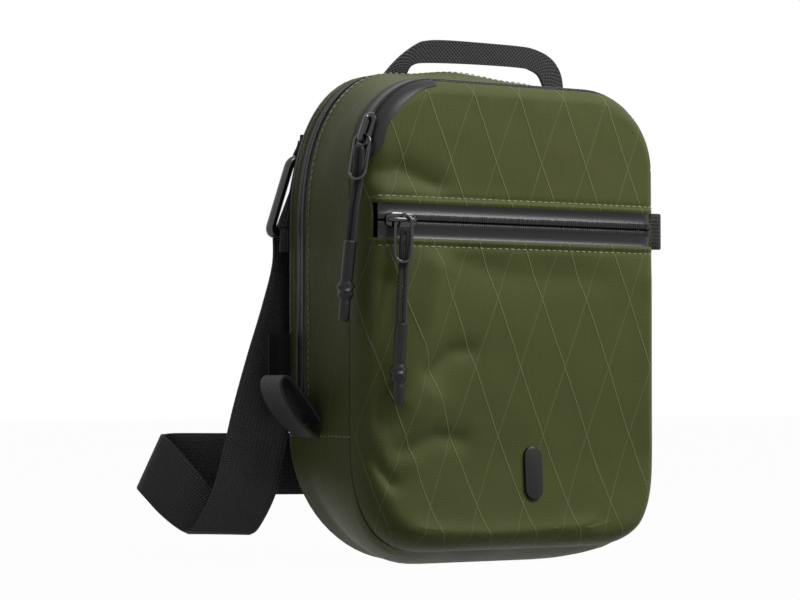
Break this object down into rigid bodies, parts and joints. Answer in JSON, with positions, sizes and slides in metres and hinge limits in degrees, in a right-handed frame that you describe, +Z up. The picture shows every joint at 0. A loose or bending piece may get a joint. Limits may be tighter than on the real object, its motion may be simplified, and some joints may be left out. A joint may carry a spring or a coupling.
{
  "type": "sling bag",
  "caption": "Soft upright sling bag with a main and a front compartment, zips with cord pulls, grab handle and shoulder strap.",
  "frame": {"origin": "on the floor, under the middle of the bag's base", "axes": "+X to the bag's right as seen from its front, -Y out of the front face, +Z up"},
  "size_m": [0.23, 0.1451, 0.257],
  "materials": {
    "shell": "matt olive laminate fabric with a raised diamond grid",
    "back_padding": "black air mesh over padding",
    "lining": "plain woven lining",
    "foam": "closed-cell foam",
    "zip_tape": "coated zip tape, satin",
    "zip_coil": "moulded coil",
    "black_metal": "gloss black enamel",
    "webbing": "ribbed polyester webbing",
    "handle_webbing": "pebbled webbing",
    "cord": "braided cord",
    "grip_rubber": "satin rubber",
    "plate": "plain black plate",
    "label": "blank woven label",
    "buckle": "moulded plastic"
  },
  "bodies": {
    "bag": {"base_panel": "shell", "main_panel": "shell", "back_panel_lower": "back_padding", "front_panel_lower": "shell", "front_panel_upper": "shell", "divider_panel": "lining", "pocket_lining": "lining", "main_zip_front_tape": "zip_tape", "main_zip_coil": "zip_coil", "top_zip_rear_tape": "zip_tape", "top_zip_coil": "zip_coil", "pocket_zip_upper_tape": "zip_tape", "pocket_zip_lower_tape": "zip_tape", "pocket_zip_coil": "zip_coil", "front_plate": "plate", "side_tab": "webbing", "zip_end_loop": "webbing", "strap": "webbing", "lower_strap_ring": "black_metal", "lower_anchor": "webbing"},
    "back_flap": {"main_zip_rear_tape": "zip_tape", "rear_strip_panel": "shell", "back_panel": "back_padding", "back_foam": "foam", "side_label": "label", "upper_anchor": "webbing", "handle_tabs": "handle_webbing"},
    "handle": {"handle": "handle_webbing"},
    "strap_ring": {"strap_ring": "black_metal"},
    "strap_adjuster": {"strap_adjuster": "buckle"},
    "front_flap": {"front_flap": "shell", "top_zip_front_tape": "zip_tape"},
    "pocket_slider": {"pocket_slider": "black_metal"},
    "pocket_ring": {"pocket_pull_ring": "black_metal"},
    "pocket_cord": {"pocket_cord": "cord", "pocket_grip": "grip_rubber"},
    "top_slider": {"top_slider": "black_metal"},
    "top_ring": {"top_pull_ring": "black_metal"},
    "top_cord": {"top_cord": "cord", "top_grip": "grip_rubber"},
    "main_slider": {"main_slider": "black_metal"},
    "main_ring": {"main_pull_ring": "black_metal"},
    "main_cord": {"main_cord": "cord", "main_grip": "grip_rubber"}
  },
  "joints": [
    {"name": "back_flap_hinge", "type": "hinge", "parent": "bag", "child": "back_flap", "pos_m": [0, 0.0382, 0.0641], "axis": [-1, 0, 0], "range_deg": [0, 30], "deforming": ["strap"]},
    {"name": "front_flap_hinge", "type": "hinge", "parent": "bag", "child": "front_flap", "pos_m": [0, -0.0397, 0.18935], "axis": [1, 0, 0], "range_deg": [0, 45]},
    {"name": "handle_flop", "type": "hinge", "parent": "back_flap", "child": "handle", "pos_m": [0.02341, 0.0405, 0.218], "axis": [-0.9647, 0, 0.2634], "range_deg": [0, 60]},
    {"name": "ring_swing", "type": "hinge", "parent": "back_flap", "child": "strap_ring", "pos_m": [-0.0715, 0.0427, 0.194], "axis": [1, 0, 0], "range_deg": [0, 30], "deforming": ["strap"]},
    {"name": "adjuster_slide", "type": "slide", "parent": "bag", "child": "strap_adjuster", "axis": [0.9889, -0.1483, -0.0082], "range_m": [-0.03, 0.03]},
    {"name": "pocket_slide", "type": "slide", "parent": "bag", "child": "pocket_slider", "axis": [1, 0, 0], "range_m": [0, 0.125]},
    {"name": "pocket_ring_swing", "type": "hinge", "parent": "pocket_slider", "child": "pocket_ring", "pos_m": [-0.067, -0.04508, 0.1605], "axis": [-1, 0, 0], "range_deg": [0, 80]},
    {"name": "pocket_cord_swing", "type": "hinge", "parent": "pocket_ring", "child": "pocket_cord", "pos_m": [-0.0684, -0.04508, 0.1412], "axis": [-0.8277, 0.5597, 0.0414], "range_deg": [0, 50]},
    {"name": "top_slide", "type": "hinge", "parent": "front_flap", "child": "top_slider", "pos_m": [-0.043, -0.03169, 0.1895], "axis": [0, 1, 0], "range_deg": [0, 62]},
    {"name": "top_ring_swing", "type": "hinge", "parent": "top_slider", "child": "top_ring", "pos_m": [-0.08291, -0.03372, 0.20007], "axis": [-0.5971, 0.8009, 0.0454], "range_deg": [0, 70]},
    {"name": "top_cord_swing", "type": "hinge", "parent": "top_ring", "child": "top_cord", "pos_m": [-0.08803, -0.03635, 0.17935], "axis": [-0.5962, 0.793, 0.1252], "range_deg": [0, 50]},
    {"name": "main_slide", "type": "slide", "parent": "bag", "child": "main_slider", "axis": [0, 0, 1], "range_m": [0, 0.07]},
    {"name": "main_ring_swing", "type": "hinge", "parent": "main_slider", "child": "main_ring", "pos_m": [0.08515, 0.0263, 0.08], "axis": [0, -1, 0], "range_deg": [0, 70]},
    {"name": "main_cord_swing", "type": "hinge", "parent": "main_ring", "child": "main_cord", "pos_m": [0.08814, 0.0263, 0.05871], "axis": [0, -1, 0], "range_deg": [0, 60]}
  ]
}
